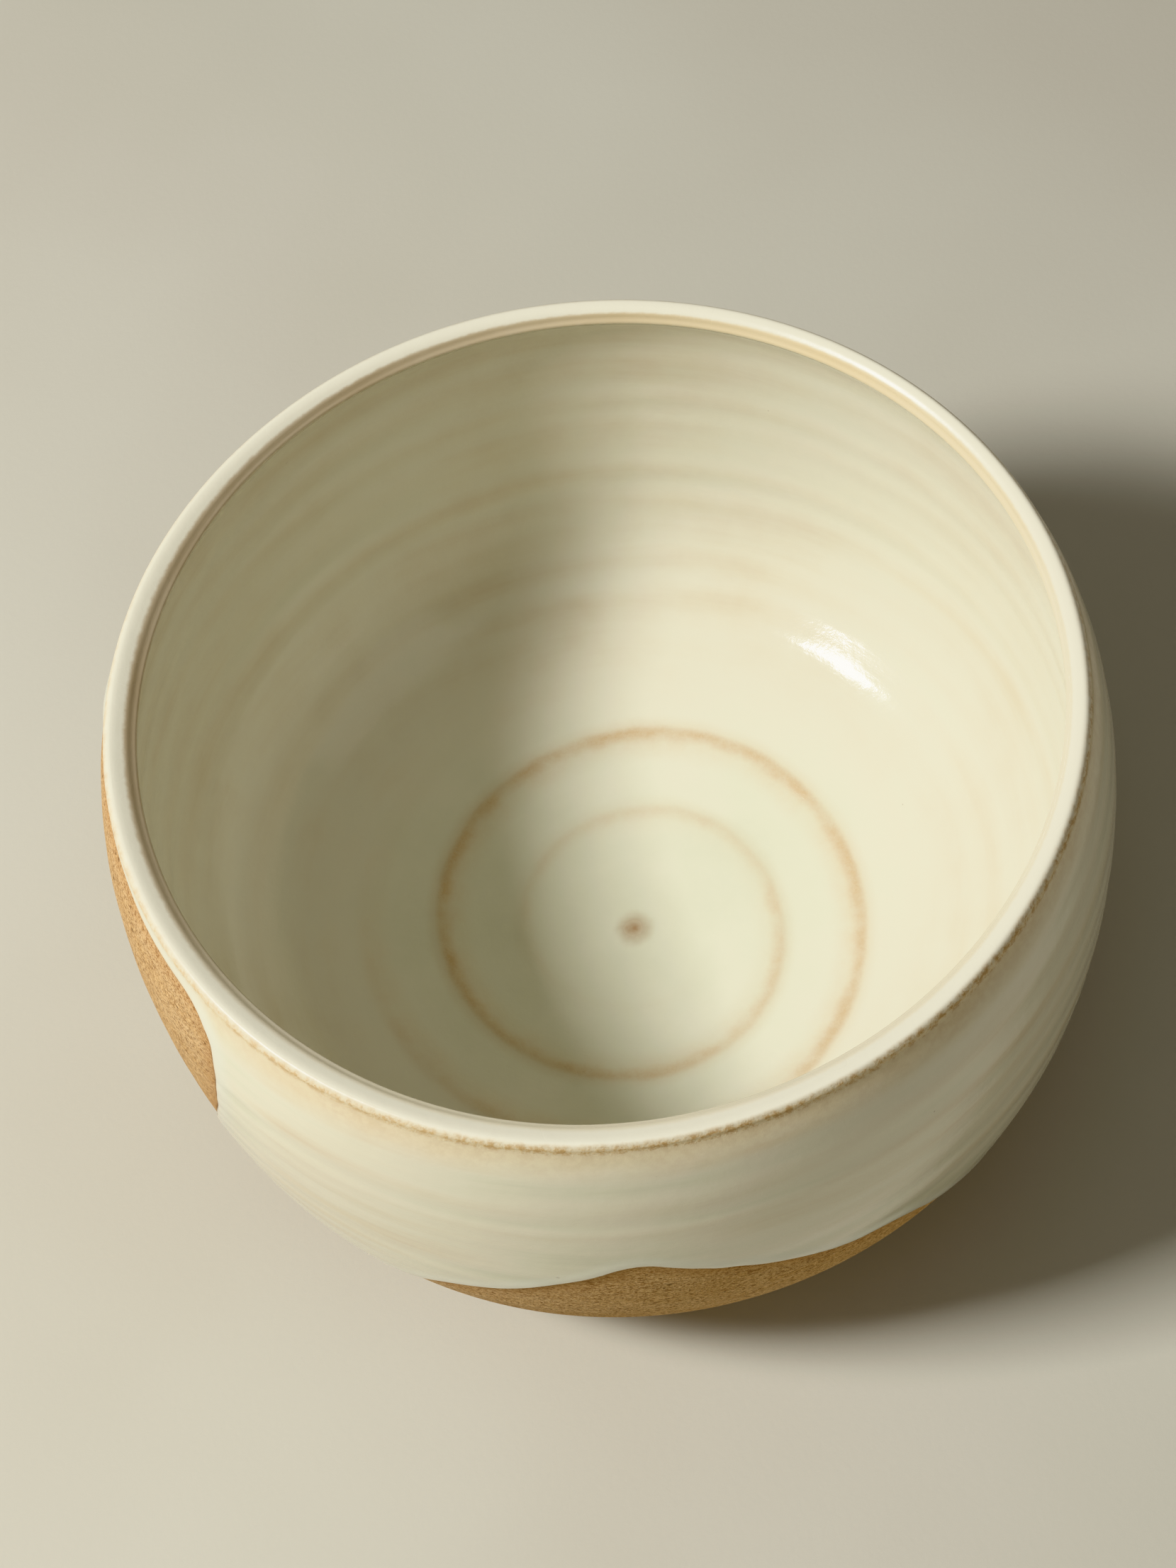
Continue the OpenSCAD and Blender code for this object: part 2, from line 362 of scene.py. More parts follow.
def new_mesh(name, co, quads, attrs, sharp_rows=()):
    me = bpy.data.meshes.new(name)
    co = np.ascontiguousarray(co.reshape(-1, 3), np.float32)
    me.vertices.add(len(co))
    me.vertices.foreach_set("co", co.ravel())
    starts = np.cumsum([0] + [len(q) * q.shape[1] for q in quads])
    loops = np.concatenate([q.ravel() for q in quads]).astype(np.int32)
    me.loops.add(len(loops))
    me.loops.foreach_set("vertex_index", loops)
    n = sum(len(q) for q in quads)
    ls = np.concatenate([starts[i] + np.arange(len(q)) * q.shape[1] for i, q in enumerate(quads)]).astype(np.int32)
    me.polygons.add(n)
    me.polygons.foreach_set("loop_start", ls)
    me.update(calc_edges=True)
    me.polygons.foreach_set("use_smooth", np.ones(n, bool))
    for k, v in attrs.items():
        a = me.attributes.new(k, "FLOAT", "POINT")
        a.data.foreach_set("value", np.ascontiguousarray(v, np.float32).ravel())
    if len(sharp_rows):
        hard = np.zeros(len(co), bool)
        for row in sharp_rows:
            hard[row] = True
        ed = np.empty(len(me.edges) * 2, np.int32)
        me.edges.foreach_get("vertices", ed)
        ed = ed.reshape(-1, 2)
        e = me.attributes.get("sharp_edge") or me.attributes.new("sharp_edge", "BOOLEAN", "EDGE")
        both = hard[ed[:, 0]] & hard[ed[:, 1]]
        e.data.foreach_set("value", both)
    me.validate()
    ob = bpy.data.objects.new(name, me)
    bpy.context.scene.collection.objects.link(ob)
    return ob


def ring_quads(rows, ncol, off=0):
    i = np.arange(rows - 1)[:, None] * ncol
    j = np.arange(ncol)[None, :]
    k = (j + 1) % ncol
    return (off + np.stack([i + j, i + k, i + ncol + k, i + ncol + j], -1)).reshape(-1, 4)


def rows_between(a, b, gap):
    return np.linspace(a, b, max(2, int(round((b - a) / gap)) + 1))


def pole_solid(name, s_top, h_top, s_bot, h_bot, ncol, attr_fn, hard=True, th_off=0.0):
    """A closed shell over the section from a pole to a rim: an outer face along s_top and an inner face back along s_bot."""
    th = (np.arange(ncol) / ncol * 2 * np.pi - np.pi + th_off)[None, :]
    top = place(s_top[:, None], th, h_top(s_top[:, None], th))
    bot = place(s_bot[::-1, None], th, h_bot(s_bot[::-1, None], th))
    nt, nb = len(s_top), len(s_bot)
    body = np.concatenate([top, bot], 0)
    pole_a = body[0].mean(0)
    pole_b = body[-1].mean(0)
    co = np.vstack([body[1:-1].reshape(-1, 3), pole_a[None], pole_b[None]])
    rows = nt + nb - 2
    quads = ring_quads(rows, ncol)
    a_i, b_i = rows * ncol, rows * ncol + 1
    j = np.arange(ncol)
    k = (j + 1) % ncol
    fan_a = np.stack([np.full(ncol, a_i), k, j], -1)
    last = (rows - 1) * ncol
    fan_b = np.stack([np.full(ncol, b_i), last + j, last + k], -1)
    attrs = attr_fn(s_top[:, None] + 0 * th, th + 0 * s_top[:, None])
    full = {}
    for key, v in attrs.items():
        low = np.repeat(v[-1:], nb, 0)
        w = np.concatenate([v, low], 0)
        full[key] = np.r_[w[1:-1].ravel(), w[0].mean(), w[-1].mean()]
    sharp = [slice((nt - 2) * ncol, (nt - 1) * ncol), slice((nt - 1) * ncol, nt * ncol)] if hard else []
    return new_mesh(name, co, [quads, fan_a, fan_b], full, sharp)


def glaze_attrs(s, th):
    """u: millimetres along the section from the outer corner of the lip; ring: height of the throwing rings."""
    ring = np.where(s < S_ARRIS, in_rings(s, th) * step(40, 54, s), out_rings(s, th))
    return {"u": s - S_CORNER + 0 * th, "ring": ring}


# --- clay body ---------------------------------------------------------------
def clay_h(s, th):
    under = 1 - step(S_FOOT - 5, S_FOOT + 1, s)
    bare = step(0.3, 1.6, -edge_distance(s + 0 * th, th + 0 * s))
    return -GLAZE * under + turning(s, th, bare)


def clay_attr(s, th):
    d = edge_distance(s, th)
    return {"edge": np.clip(-d, -5, 60), "u": s - S_CORNER + 0 * th}


N_TH = 480
clay_rows = np.unique(np.round(np.concatenate([
    rows_between(0, S_ARRIS - 4, 6.0), rows_between(S_ARRIS - 4, S_SEAM, 0.9),
    rows_between(S_SEAM, S_FOOT, 0.78), rows_between(S_FOOT, S_FOOT + 20, 0.5),
    rows_between(S_FOOT + 20, S_END, 1.6)]), 4))
th = (np.arange(N_TH) / N_TH * 2 * np.pi - np.pi)[None, :]
body = place(clay_rows[:, None], th, clay_h(clay_rows[:, None], th))
att = clay_attr(clay_rows[:, None] + 0 * th, th + 0 * clay_rows[:, None])
rows = len(clay_rows) - 2
co = np.vstack([body[1:-1].reshape(-1, 3), body[0].mean(0)[None], body[-1].mean(0)[None]])
j = np.arange(N_TH)
k = (j + 1) % N_TH
fan_a = np.stack([np.full(N_TH, rows * N_TH), k, j], -1)
fan_b = np.stack([np.full(N_TH, rows * N_TH + 1), (rows - 1) * N_TH + j, (rows - 1) * N_TH + k], -1)
clay = new_mesh("stoneware_body", co, [ring_quads(rows, N_TH), fan_a, fan_b],
                {q: np.r_[v[1:-1].ravel(), v[0].mean(), v[-1].mean()] for q, v in att.items()})

# --- liner glaze -------------------------------------------------------------
SINK = 0.07


def liner_top(s, th):
    near = s > S_SEAM - 3.5
    if not np.any(near):
        return 0 * (s + th)
    d = edge_distance(s + 0 * th, th + 0 * s)
    return np.where(near, coat(d) - GLAZE, 0)


s_top = np.unique(np.round(np.concatenate([
    np.array([0, 0.5, 1.0, 1.5, 2.0, 2.5, 3.1, 3.8, 4.6, 5.5]), rows_between(6.3, 12, 0.8), rows_between(12, 40, 0.55),
    rows_between(40, S_ARRIS - 4, 0.95), rows_between(S_ARRIS - 4, S_ARRIS - 1, 0.4),
    rows_between(S_ARRIS - 1, S_SEAM - 0.4, 0.17), rows_between(S_SEAM - 0.4, S_SEAM, 0.1)]), 4))
s_bot = rows_between(0, S_SEAM, 7.0)
liner = pole_solid("liner_coat", s_top, liner_top, s_bot, lambda s, t: -GLAZE - SINK + 0 * (s + t), N_TH, glaze_attrs)

# --- outer glaze -------------------------------------------------------------
D_SEAM = float(np.interp(S_SEAM, _sd, _dep))
u_far = np.array([0, 0.02, 0.05, 0.10, 0.17, 0.26, 0.37, 0.50, 0.66, 0.85, 1.1, 1.4, 1.8, 2.3])[::-1]
N_UP = 96
cols_s = s_of_depth(EDGE_D)
length = cols_s - S_SEAM
tail = np.minimum(u_far[:, None], 0.0) + u_far[:, None] * np.clip(length / 4.6, 0.02, 1)[None, :]
top_part = np.linspace(0, 1, N_UP)[:, None] ** 1.0 * (length - tail[0])[None, :]
s_grid = np.vstack([S_SEAM + top_part, cols_s[None, :] - tail[1:]])
d_grid = np.interp(s_grid, _sd, _dep)
th_grid = EDGE_A[None, :] - np.radians(LEAN) * d_grid
dist = edge_distance(s_grid, th_grid)
dist[-1] = 0
dist = np.abs(dist)
face = place(s_grid, th_grid, coat(dist) - GLAZE)
pick = np.r_[np.arange(0, N_UP, 12), N_UP - 1, len(s_grid) - 1]
pick = np.unique(pick)
back = place(s_grid[pick], th_grid[pick], np.full_like(s_grid[pick], -GLAZE - SINK))
nt, nb = len(s_grid), len(pick)
rows = np.concatenate([face, back[::-1]], 0)
quads = ring_quads(nt + nb, N_COL)
# close the loop from the last back row to the first face row
j = np.arange(N_COL)
k = (j + 1) % N_COL
lastrow = (nt + nb - 1) * N_COL
close = np.stack([lastrow + j, lastrow + k, k, j], -1)
ga = glaze_attrs(s_grid, th_grid)
full = {q: np.concatenate([v, v[pick][::-1]], 0) for q, v in ga.items()}
full["lip_edge"] = np.concatenate([dist, dist[pick][::-1]], 0)
outer = new_mesh("outer_coat", rows, [quads, close], full,
                 [slice(0, N_COL), slice((nt - 1) * N_COL, nt * N_COL), slice(nt * N_COL, (nt + 1) * N_COL), slice(lastrow, lastrow + N_COL)])
liner_edge = np.full(len(liner.data.vertices), 20.0, np.float32)
liner.data.attributes.new("lip_edge", "FLOAT", "POINT").data.foreach_set("value", liner_edge)

# ---------------------------------------------------------------------------
# Materials
# ---------------------------------------------------------------------------
def lin(c):
    return tuple(((v / 255) / 12.92 if v / 255 <= 0.04045 else ((v / 255 + 0.055) / 1.055) ** 2.4) for v in c) + (1.0,)


class Mat:
    def __init__(self, name):
        self.m = bpy.data.materials.new(name)
        self.m.use_nodes = True
        self.nt = self.m.node_tree
        self.nt.nodes.clear()
        self.out = self.nt.nodes.new("ShaderNodeOutputMaterial")
        self.p = self.nt.nodes.new("ShaderNodeBsdfPrincipled")
        self.nt.links.new(self.p.outputs[0], self.out.inputs[0])
        self.coord = self.nt.nodes.new("ShaderNodeTexCoord").outputs["Object"]

    def put(self, sock, v):
        if isinstance(v, bpy.types.NodeSocket):
            self.nt.links.new(v, sock)
        else:
            sock.default_value = v

    def math(self, op, a, b=0.5, c=0.0, clamp=False):
        n = self.nt.nodes.new("ShaderNodeMath")
        n.operation = op
        n.use_clamp = clamp
        self.put(n.inputs[0], a)
        self.put(n.inputs[1], b)
        if op in ("MULTIPLY_ADD", "COMPARE", "SMOOTH_MIN", "SMOOTH_MAX"):
            self.put(n.inputs[2], c)
        return n.outputs[0]

    def remap(self, v, a, b, lo=0.0, hi=1.0, smooth=True):
        n = self.nt.nodes.new("ShaderNodeMapRange")
        n.interpolation_type = "SMOOTHSTEP" if smooth else "LINEAR"
        self.put(n.inputs["Value"], v)
        n.inputs["From Min"].default_value = a
        n.inputs["From Max"].default_value = b
        n.inputs["To Min"].default_value = lo
        n.inputs["To Max"].default_value = hi
        return n.outputs["Result"]

    def mix(self, f, a, b, mode="MIX"):
        n = self.nt.nodes.new("ShaderNodeMix")
        n.data_type = "RGBA"
        n.blend_type = mode
        n.clamp_factor = True
        self.put(n.inputs[0], f)
        self.put(n.inputs[6], a)
        self.put(n.inputs[7], b)
        return n.outputs[2]

    def attr(self, name):
        n = self.nt.nodes.new("ShaderNodeAttribute")
        n.attribute_name = name
        return n.outputs["Fac"]

    def noise(self, scale, detail=3.0, rough=0.5, vec=None, w=None):
        n = self.nt.nodes.new("ShaderNodeTexNoise")
        if w is not None:
            n.noise_dimensions = "4D"
            n.inputs["W"].default_value = w
        n.inputs["Scale"].default_value = scale
        n.inputs["Detail"].default_value = detail
        n.inputs["Roughness"].default_value = rough
        self.put(n.inputs["Vector"], vec if vec is not None else self.coord)
        return n.outputs["Fac"]

    def voronoi(self, scale, feature="F1", vec=None, rnd=1.0):
        n = self.nt.nodes.new("ShaderNodeTexVoronoi")
        n.feature = feature
        n.inputs["Scale"].default_value = scale
        n.inputs["Randomness"].default_value = rnd
        self.put(n.inputs["Vector"], vec if vec is not None else self.coord)
        return n

    def bump(self, height, strength, dist, normal=None):
        n = self.nt.nodes.new("ShaderNodeBump")
        n.inputs["Strength"].default_value = strength
        n.inputs["Distance"].default_value = dist
        self.put(n.inputs["Height"], height)
        if normal is not None:
            self.put(n.inputs["Normal"], normal)
        return n.outputs[0]


U_ARRIS, U_CREST = S_ARRIS - S_CORNER, S_CREST - S_CORNER


def polar(m):
    sep = m.nt.nodes.new("ShaderNodeSeparateXYZ")
    m.nt.links.new(m.coord, sep.inputs[0])
    x, y = sep.outputs[0], sep.outputs[1]
    x2 = m.math("MULTIPLY", x, x)
    r = m.math("SQRT", m.math("MULTIPLY_ADD", y, y, x2))
    th_ = m.math("ARCTAN2", y, x)
    return x, y, m.math("MULTIPLY", r, 1000.0), th_


def turn_vec(m, x, y, r_mm, v, along, up_):
    """Coordinates for marks that run round the bowl: slow along the turn, quick across it."""
    k = m.math("DIVIDE", along * 1000.0, m.math("MAXIMUM", r_mm, 6.0))
    comb = m.nt.nodes.new("ShaderNodeCombineXYZ")
    m.put(comb.inputs[0], m.math("MULTIPLY", x, k))
    m.put(comb.inputs[1], m.math("MULTIPLY", y, k))
    m.put(comb.inputs[2], m.math("MULTIPLY", v, up_))
    return comb.outputs[0]


def bell(m, v, centre, w_lo, w_hi):
    """1 at the centre, falling away over w_lo below it and w_hi above it."""
    lo = m.remap(v, centre - w_lo, centre)
    hi = m.remap(v, centre, centre + w_hi, 1.0, 0.0)
    return m.math("MULTIPLY", lo, hi)


def centred(m, v, gain):
    return m.math("MULTIPLY", m.math("SUBTRACT", v, 0.5), gain)


def glaze_material(name, inside):
    m = Mat(name)
    x, y, r, th_ = polar(m)
    u, ring, edge = m.attr("u"), m.attr("ring"), m.attr("lip_edge")
    broad = m.noise(34, 2, 0.5)
    patchy = m.noise(150, 3, 0.55)
    fine = m.noise(900, 3, 0.6)
    grain = m.noise(2600, 2, 0.65)
    warp = centred(m, m.noise(26, 1, 0.5), 5.0)
    v = m.math("ADD", u, warp)
    # streaks that run round the wall: wide, medium and fine
    s_a = m.noise(1.0, 2, 0.5, vec=turn_vec(m, x, y, r, v, 1.0, 0.15))
    s_b = m.noise(1.0, 3, 0.55, vec=turn_vec(m, x, y, r, v, 1.7, 0.33))
    s_c = m.noise(1.0, 3, 0.6, vec=turn_vec(m, x, y, r, v, 4.5, 0.95))
    if inside:
        wall = m.remap(u, U_ARRIS - 82, U_ARRIS - 58)
        near_lip = m.remap(u, U_ARRIS - 30, U_ARRIS - 6)
        t = m.math("MULTIPLY", centred(m, s_a, 0.30), wall)
        t = m.math("ADD", t, m.math("MULTIPLY", centred(m, s_b, 0.20), wall))
        t = m.math("ADD", t, m.math("MULTIPLY", centred(m, s_c, 0.10), wall))
        t = m.math("ADD", t, centred(m, broad, 0.45))
        t = m.math("ADD", t, centred(m, patchy, 0.22))
        t = m.math("MULTIPLY_ADD", ring, 0.050, t)
        t = m.math("ADD", t, m.math("MULTIPLY_ADD", wall, 0.32, 0.27))
        t = m.math("MULTIPLY_ADD", near_lip, 0.08, t)
    else:
        lively = m.remap(m.math("SINE", m.math("ADD", th_, math.radians(-125)), 0.0), -1.0, 1.0, 0.55, 1.25)
        t = m.math("MULTIPLY", m.math("ADD", centred(m, s_a, 0.52), centred(m, s_b, 0.50)), lively)
        t = m.math("ADD", t, centred(m, s_c, 0.15))
        t = m.math("ADD", t, centred(m, broad, 0.40))
        t = m.math("MULTIPLY_ADD", ring, 0.100, t)
        t = m.math("ADD", t, 0.55)
        smooth_zone = m.math("MULTIPLY", m.remap(edge, 0.6, 2.5), m.remap(edge, 4.0, 12.0, 1.0, 0.0))
        t = m.math("SUBTRACT", t, m.math("MULTIPLY", smooth_zone, 0.22))
    on_lip = m.math("MULTIPLY", m.remap(u, U_ARRIS - 0.5, U_ARRIS + 0.8), m.remap(u, -0.2, 2.0, 1.0, 0.0))
    t = m.math("ADD", m.math("MULTIPLY", t, m.math("SUBTRACT", 1.0, m.math("MULTIPLY", on_lip, 0.8))), m.math("MULTIPLY", on_lip, 0.42))
    ramp = m.nt.nodes.new("ShaderNodeValToRGB")
    ramp.color_ramp.interpolation = "B_SPLINE"
    stops = [(0.0, (212, 214, 191)), (0.28, (225, 225, 204)), (0.48, (233, 230, 211)), (0.66, (230, 225, 204)), (0.84, (222, 211, 186)), (1.0, (208, 194, 164))]
    el = ramp.color_ramp.elements
    while len(el) < len(stops):
        el.new(0.5)
    for e, (p, c) in zip(el, stops):
        e.position = p
    for e, (p, c) in zip(el, stops):
        e.color = lin(c)
    m.put(ramp.inputs[0], t)
    c = ramp.outputs[0]
    if inside:
        # painted shade: the inner wall below the lip is multiplied a little darker than the floor
        wall_painted_shade = m.math("MULTIPLY", wall, m.math("SUBTRACT", 1.0, on_lip))
        c = m.mix(m.math("MULTIPLY", wall_painted_shade, 0.9), c, m.mix(1.0, c, (0.925, 0.925, 0.92, 1.0), "MULTIPLY"))

    # where the glaze breaks thin it goes tan: the corner, the inner chamfer and, inside, the spiral; on the left the
    # chamfer also carries painted shade, a darker brown
    ang = m.math("MULTIPLY_ADD", m.math("SINE", m.math("ADD", th_, math.radians(172)), 0.0), 0.30, 0.72)
    mott = m.remap(m.math("MULTIPLY_ADD", centred(m, grain, 1.0), 0.9, fine), 0.34, 0.64)
    wav = centred(m, fine, 0.55)
    uc = m.math("ADD", u, wav)
    corner = m.math("MULTIPLY", bell(m, uc, 0.15, 1.35, 1.90), ang)
    corner = m.math("MULTIPLY", corner, m.math("MULTIPLY_ADD", mott, 0.42, 0.66))
    below = m.math("MULTIPLY", m.math("MULTIPLY", m.remap(u, 0.0, 0.4), m.remap(m.math("MULTIPLY_ADD", centred(m, patchy, 1.0), 3.0, u), 0.3, 6.5, 1.0, 0.0)), 0.52)
    # inner chamfer: tan glaze break, turning to a darker brown painted shade towards the left, the side turned away
    # from the key light
    chamfer_break_and_shade = m.math("MULTIPLY", m.remap(uc, U_ARRIS - 0.5, U_ARRIS + 0.5), m.remap(uc, U_CREST - 0.85, U_CREST - 0.15, 1.0, 0.0))
    side_ = m.remap(m.math("SINE", m.math("ADD", th_, math.radians(-20)), 0.0), -0.6, 0.4, 0.35, 1.0)
    chamfer_shade_side = m.remap(m.math("SINE", m.math("ADD", th_, math.radians(-60)), 0.0), -0.1, 0.8)
    chamfer_break_and_shade = m.math("MULTIPLY", chamfer_break_and_shade, m.math("MULTIPLY", m.math("MULTIPLY_ADD", m.noise(60, 2, 0.5), 0.4, 0.50), side_))
    chamfer_tan_and_painted_shade = m.mix(chamfer_shade_side, lin((224, 203, 158)), lin((174, 148, 108)))
    brk = m.math("MAXIMUM", corner, m.math("MULTIPLY", below, ang))
    if inside:
        wob = m.math("MULTIPLY", m.math("SINE", m.math("MULTIPLY_ADD", th_, 2.0, 0.6), 0.0), 0.35)
        wob = m.math("MULTIPLY_ADD", m.math("SINE", m.math("MULTIPLY_ADD", th_, 3.0, 2.0), 0.0), 0.25, wob)
        rr_ = m.math("ADD", m.math("ADD", r, wob), m.math("MULTIPLY_ADD", th_, 1.8, 1.8 * 0.9076 - 33.0))
        rr_ = m.math("ADD", rr_, centred(m, m.noise(300, 2, 0.5), 0.8))
        tt = m.math("DIVIDE", rr_, PITCH)
        d = m.math("MULTIPLY", m.math("SUBTRACT", tt, m.math("ROUND", tt)), PITCH)
        core = bell(m, d, 0.05, 1.9, 1.15)
        halo = bell(m, d, -0.1, 4.8, 2.8)
        line = m.math("MULTIPLY_ADD", core, 0.37, m.math("MULTIPLY", halo, 0.34))
        floor_ = m.math("MULTIPLY", m.remap(r, 10.0, 25.0), m.remap(r, 32.0, 38.5, 1.0, 0.0))
        floor_ = m.math("MULTIPLY", floor_, m.math("LESS_THAN", u, U_ARRIS - 60))
        line = m.math("MULTIPLY", line, m.math("MULTIPLY", floor_, m.math("MULTIPLY_ADD", m.remap(patchy, 0.3, 0.7), 0.5, 0.62)))
        line = m.math("MULTIPLY", line, m.math("MULTIPLY_ADD", mott, 0.14, 0.90))
        brk = m.math("MAXIMUM", brk, line)
    tan = m.mix(m.remap(fine, 0.36, 0.64), lin((221, 197, 150)), lin((205, 174, 123)))
    if inside:
        tan = m.mix(m.math("GREATER_THAN", u, U_ARRIS - 60), lin((201, 171, 128)), tan)
    c = m.mix(m.math("MULTIPLY", brk, 0.95, clamp=True), c, tan)
    # the chamfer's tan break colour, with painted shade in darker brown on the left
    c = m.mix(chamfer_break_and_shade, c, chamfer_tan_and_painted_shade)
    dark = m.math("MULTIPLY", m.remap(corner, 0.40, 0.90), m.remap(m.math("MULTIPLY_ADD", centred(m, grain, 1.0), 0.6, fine), 0.50, 0.66))
    right = m.remap(m.math("SINE", m.math("ADD", th_, math.radians(120)), 0.0), -0.2, 0.9, 0.05, 0.32)
    c = m.mix(m.math("MULTIPLY", dark, right), c, lin((150, 108, 64)))
    nubn = None
    if inside:
        # the button in the middle, toasted where the glaze is thin
        rn = m.math("ADD", r, centred(m, m.noise(300, 2, 0.5), 1.8))
        nubn = m.math("MULTIPLY", m.remap(rn, -0.4, 3.4, 1.0, 0.0), m.math("LESS_THAN", u, U_ARRIS - 60))
        c = m.mix(m.math("MULTIPLY", nubn, m.remap(fine, 0.25, 0.75, 0.72, 0.92)), c, lin((160, 118, 74)))
    else:
        # the edge: thin and brown for a hair's width, then a milky roll
        rim = m.remap(m.math("ADD", edge, centred(m, fine, 0.35)), 0.02, 0.42, 1.0, 0.0)
        c = m.mix(m.math("MULTIPLY", rim, 0.85), c, lin((132, 98, 64)))
        c = m.mix(1.0, c, (1.0, 0.978, 0.925, 1.0), "MULTIPLY")
        bead = m.math("MULTIPLY", m.remap(edge, 0.25, 0.9), m.remap(edge, 1.2, 4.0, 1.0, 0.0))
        c = m.mix(m.math("MULTIPLY", bead, 0.55), c, lin((226, 229, 213)))
    # a few iron specks
    speck = None
    for sc, lim, big in ((120, 0.965, 0.060), (330, 0.955, 0.085)):
        vo = m.voronoi(sc)
        pick = m.nt.nodes.new("ShaderNodeSeparateColor")
        m.nt.links.new(vo.outputs["Color"], pick.inputs[0])
        chosen = m.math("GREATER_THAN", pick.outputs[0], lim)
        size = m.math("MULTIPLY_ADD", pick.outputs[1], big * 0.6, big * 0.4)
        near = m.math("SUBTRACT", 1.0, m.math("DIVIDE", vo.outputs["Distance"], size), clamp=True)
        one = m.math("MULTIPLY", chosen, m.math("MULTIPLY", m.remap(near, 0.0, 0.8), m.math("MULTIPLY_ADD", pick.outputs[2], 0.6, 0.2)))
        speck = one if speck is None else m.math("MAXIMUM", speck, one)
    c = m.mix(m.math("MULTIPLY", speck, 0.62), c, lin((118, 92, 62)))
    m.put(m.p.inputs["Base Color"], c)
    # gloss: bright over the walls, satin on the lip and where the glaze breaks
    lip_zone = m.math("MULTIPLY", m.remap(u, U_ARRIS - 0.2, U_ARRIS + 1.2), m.remap(u, -0.5, 1.4, 1.0, 0.0))
    rough = m.math("MULTIPLY_ADD", m.noise(90, 2, 0.5), 0.07, 0.075)
    rough = m.math("MULTIPLY_ADD", lip_zone, 0.17, rough)
    rough = m.math("MULTIPLY_ADD", brk, 0.16, rough)
    if nubn is not None:
        rough = m.math("MULTIPLY_ADD", nubn, 0.30, rough)
    m.put(m.p.inputs["Roughness"], rough)
    m.p.inputs["IOR"].default_value = 1.50
    m.p.inputs["Specular IOR Level"].default_value = 0.5
    n0 = m.bump(m.noise(300, 2, 0.5), 1.0, 0.00005)
    n1 = m.bump(m.noise(2300, 2, 0.6), 1.0, 0.000010, n0)
    n2 = m.bump(s_c, 1.0, 0.000014, n1)
    n3 = m.bump(m.math("MULTIPLY", grain, m.remap(brk, 0.2, 0.8)), 1.0, 0.00004, n2)
    m.put(m.p.inputs["Normal"], n3)
    return m.m


def clay_material():
    m = Mat("bare_stoneware")
    x, y, r, th_ = polar(m)
    edge, u = m.attr("edge"), m.attr("u")
    broad = m.noise(60, 3, 0.55)
    streak = m.noise(1.0, 4, 0.62, vec=turn_vec(m, x, y, r, u, 9.0, 1.7))
    wide = m.noise(1.0, 3, 0.5, vec=turn_vec(m, x, y, r, u, 2.2, 0.30))
    grain = m.noise(1.0, 3, 0.62, vec=turn_vec(m, x, y, r, u, 108.0, 3.1))
    comb_ = m.noise(1.0, 2, 0.5, vec=turn_vec(m, x, y, r, u, 5.0, 2.6))
    sand = m.noise(4200, 2, 0.6)
    c = m.mix(m.remap(broad, 0.32, 0.68), lin((205, 170, 122)), lin((217, 184, 137)))
    c = m.mix(m.math("MULTIPLY", m.remap(wide, 0.40, 0.66), 0.42), c, lin((192, 148, 90)))
    c = m.mix(m.math("MULTIPLY", m.remap(comb_, 0.50, 0.62), 0.30), c, lin((176, 131, 78)))
    c = m.mix(m.math("MULTIPLY", m.remap(streak, 0.50, 0.70), 0.40), c, lin((167, 122, 72)))
    c = m.mix(m.math("MULTIPLY", m.remap(grain, 0.51, 0.62), 0.78), c, lin((130, 92, 54)))
    c = m.mix(m.math("MULTIPLY", m.remap(grain, 0.47, 0.37), 0.55), c, lin((236, 203, 148)))
    c = m.mix(m.math("MULTIPLY", m.remap(sand, 0.53, 0.66), 0.55), c, lin((234, 208, 166)))
    c = m.mix(m.math("MULTIPLY", m.remap(sand, 0.46, 0.32), 0.55), c, lin((128, 90, 52)))
    pit = None
    for sc, lim in ((520, 0.90), (1100, 0.93)):
        vo = m.voronoi(sc)
        pick = m.nt.nodes.new("ShaderNodeSeparateColor")
        m.nt.links.new(vo.outputs["Color"], pick.inputs[0])
        chosen = m.math("GREATER_THAN", pick.outputs[0], lim)
        near = m.remap(vo.outputs["Distance"], 0.08, 0.26, 1.0, 0.0)
        one = m.math("MULTIPLY", chosen, near)
        pit = one if pit is None else m.math("MAXIMUM", pit, one)
    c = m.mix(m.math("MULTIPLY", pit, 0.78), c, lin((92, 62, 34)))
    # toasted halo and brown line beside the glaze
    flash = m.remap(m.math("ADD", edge, centred(m, broad, 3.0)), 0.1, 4.5, 1.0, 0.0)
    c = m.mix(m.math("MULTIPLY", flash, 0.35), c, lin((172, 124, 76)))
    line = m.remap(m.math("ADD", edge, centred(m, grain, 0.5)), 0.10, 0.62, 1.0, 0.0)
    c = m.mix(m.math("MULTIPLY", line, 0.72), c, lin((104, 70, 40)))
    # the standing surface is a little worn and paler
    worn = m.math("MULTIPLY", m.remap(u, S_FOOT - S_CORNER + 7.5, S_FOOT - S_CORNER + 9.5), m.remap(u, S_FOOT - S_CORNER + 13.0, S_FOOT - S_CORNER + 15.0, 1.0, 0.0))
    c = m.mix(m.math("MULTIPLY", worn, m.remap(broad, 0.35, 0.6, 0.2, 0.55)), c, lin((222, 192, 148)))
    m.put(m.p.inputs["Base Color"], c)
    rg = m.math("MULTIPLY_ADD", sand, 0.22, 0.70)
    m.put(m.p.inputs["Roughness"], m.math("MULTIPLY_ADD", worn, -0.10, rg))
    m.p.inputs["Specular IOR Level"].default_value = 0.35
    n1 = m.bump(streak, 1.0, 0.00010)
    n2 = m.bump(grain, 1.0, 0.00013, n1)
    n3 = m.bump(sand, 1.0, 0.00005, n2)
    n4 = m.bump(m.math("MULTIPLY", pit, -1.0), 1.0, 0.00015, n3)
    m.put(m.p.inputs["Normal"], n4)
    return m.m


